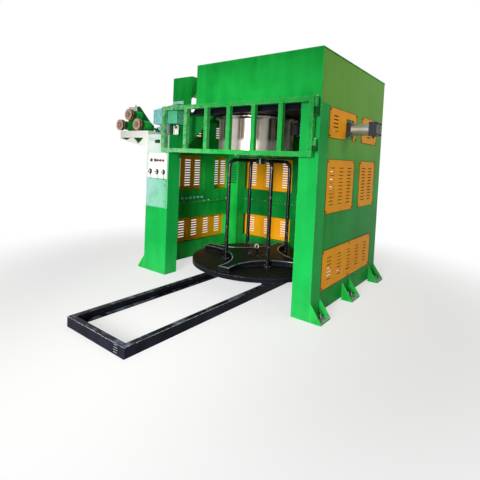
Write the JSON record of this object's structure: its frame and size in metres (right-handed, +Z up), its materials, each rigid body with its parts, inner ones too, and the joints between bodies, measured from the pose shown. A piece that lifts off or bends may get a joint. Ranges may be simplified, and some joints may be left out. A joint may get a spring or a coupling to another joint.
{
  "type": "inverted vertical wire drawing machine",
  "caption": "Wire drawing machine with an open green housing, a hanging vertical drum behind a swing gate, a coil carrier on a floor track and a wire straightener.",
  "frame": {"origin": "on the floor, at the centre of the four corner anchor bolts of the housing", "axes": "+Z up, +X to the machine's right side as seen from the front, +Y from the front to the back"},
  "size_m": [3.577, 3.615, 2.7],
  "materials": {
    "green_paint": "semi-gloss machine enamel",
    "pale_green_paint": "pale enamel, lightly worn",
    "orange_paint": "semi-gloss enamel on pressed sheet",
    "black_paint": "satin black enamel",
    "white_paint": "satin white enamel",
    "switch_plastic": "moulded switches with red lamp lenses",
    "bare_steel": "turned steel",
    "polished_steel": "ground and polished around the drum",
    "chromed_rod": "hard chromed",
    "cylinder_metal": "anodised tube between dark heads",
    "valve_metal": "plated",
    "roller_rubber": "matt",
    "copper_rollers": "hardened rollers, coloured by the wire"
  },
  "bodies": {
    "housing": {"front_columns": "green_paint", "right_wall_lower": "green_paint", "right_wall_upper": "green_paint", "left_wall_lower": "green_paint", "left_wall_upper": "green_paint", "back_wall_lower": "green_paint", "back_wall_upper": "green_paint", "rear_posts": "green_paint", "anchor_feet": "green_paint", "head_box_front": "green_paint", "head_box_sides": "green_paint", "head_box_roof": "green_paint", "deck_plate": "black_paint", "drum_bearing": "bare_steel", "left_top_frame": "green_paint", "upper_left_box": "green_paint", "side_covers": "orange_paint", "back_covers": "orange_paint", "control_panel": "white_paint", "panel_switches": "switch_plastic", "die_hood": "green_paint", "die_holder": "bare_steel", "water_valves": "valve_metal", "straightener_bracket": "pale_green_paint", "bearing_housings": "green_paint", "press_cylinder": "cylinder_metal", "cylinder_mount": "green_paint", "gate_hinges": "green_paint", "track_webs": "black_paint", "track_flanges": "black_paint"},
    "gate": {"gate": "green_paint"},
    "drum": {"drum": "polished_steel", "drum_flange": "polished_steel", "drum_shaft": "bare_steel"},
    "press_rod": {"press_rod": "chromed_rod"},
    "press_roller": {"press_roller": "roller_rubber"},
    "guide_roller_1": {"guide_roller_1": "copper_rollers"},
    "guide_roller_2": {"guide_roller_2": "copper_rollers"},
    "guide_roller_3": {"guide_roller_3": "copper_rollers"},
    "trolley": {"trolley": "black_paint", "trolley_wheels": "bare_steel"},
    "turntable": {"turntable": "black_paint", "turntable_frame": "black_paint", "spider_base": "black_paint", "spider_legs": "black_paint"}
  },
  "joints": [
    {"name": "gate_hinge", "type": "hinge", "parent": "housing", "child": "gate", "pos_m": [1.256, -1.055, 1.9], "axis": [0, 0, 1], "range_deg": [0, 105]},
    {"name": "drum_spin", "type": "hinge", "parent": "housing", "child": "drum", "pos_m": [0.087, -0.35, 1.9], "axis": [0, 0, 1], "continuous": true},
    {"name": "press_slide", "type": "slide", "parent": "housing", "child": "press_rod", "axis": [1, 0, 0], "range_m": [0, 0.06]},
    {"name": "press_roller_spin", "type": "hinge", "parent": "press_rod", "child": "press_roller", "pos_m": [0.59913, -0.23, 1.965], "axis": [0, 0, 1], "continuous": true},
    {"name": "trolley_slide", "type": "slide", "parent": "housing", "child": "trolley", "axis": [0, -1, 0], "range_m": [0, 1.85]},
    {"name": "turntable_spin", "type": "hinge", "parent": "trolley", "child": "turntable", "pos_m": [0.087, -0.21, 0.25], "axis": [0, 0, 1], "continuous": true},
    {"name": "guide_roller_1_spin", "type": "hinge", "parent": "housing", "child": "guide_roller_1", "pos_m": [-1.7, -0.99, 2.152], "axis": [0, 1, 0], "continuous": true},
    {"name": "guide_roller_2_spin", "type": "hinge", "parent": "housing", "child": "guide_roller_2", "pos_m": [-1.895, -0.99, 2.008], "axis": [0, 1, 0], "continuous": true},
    {"name": "guide_roller_3_spin", "type": "hinge", "parent": "housing", "child": "guide_roller_3", "pos_m": [-1.505, -0.99, 2.008], "axis": [0, 1, 0], "continuous": true}
  ]
}
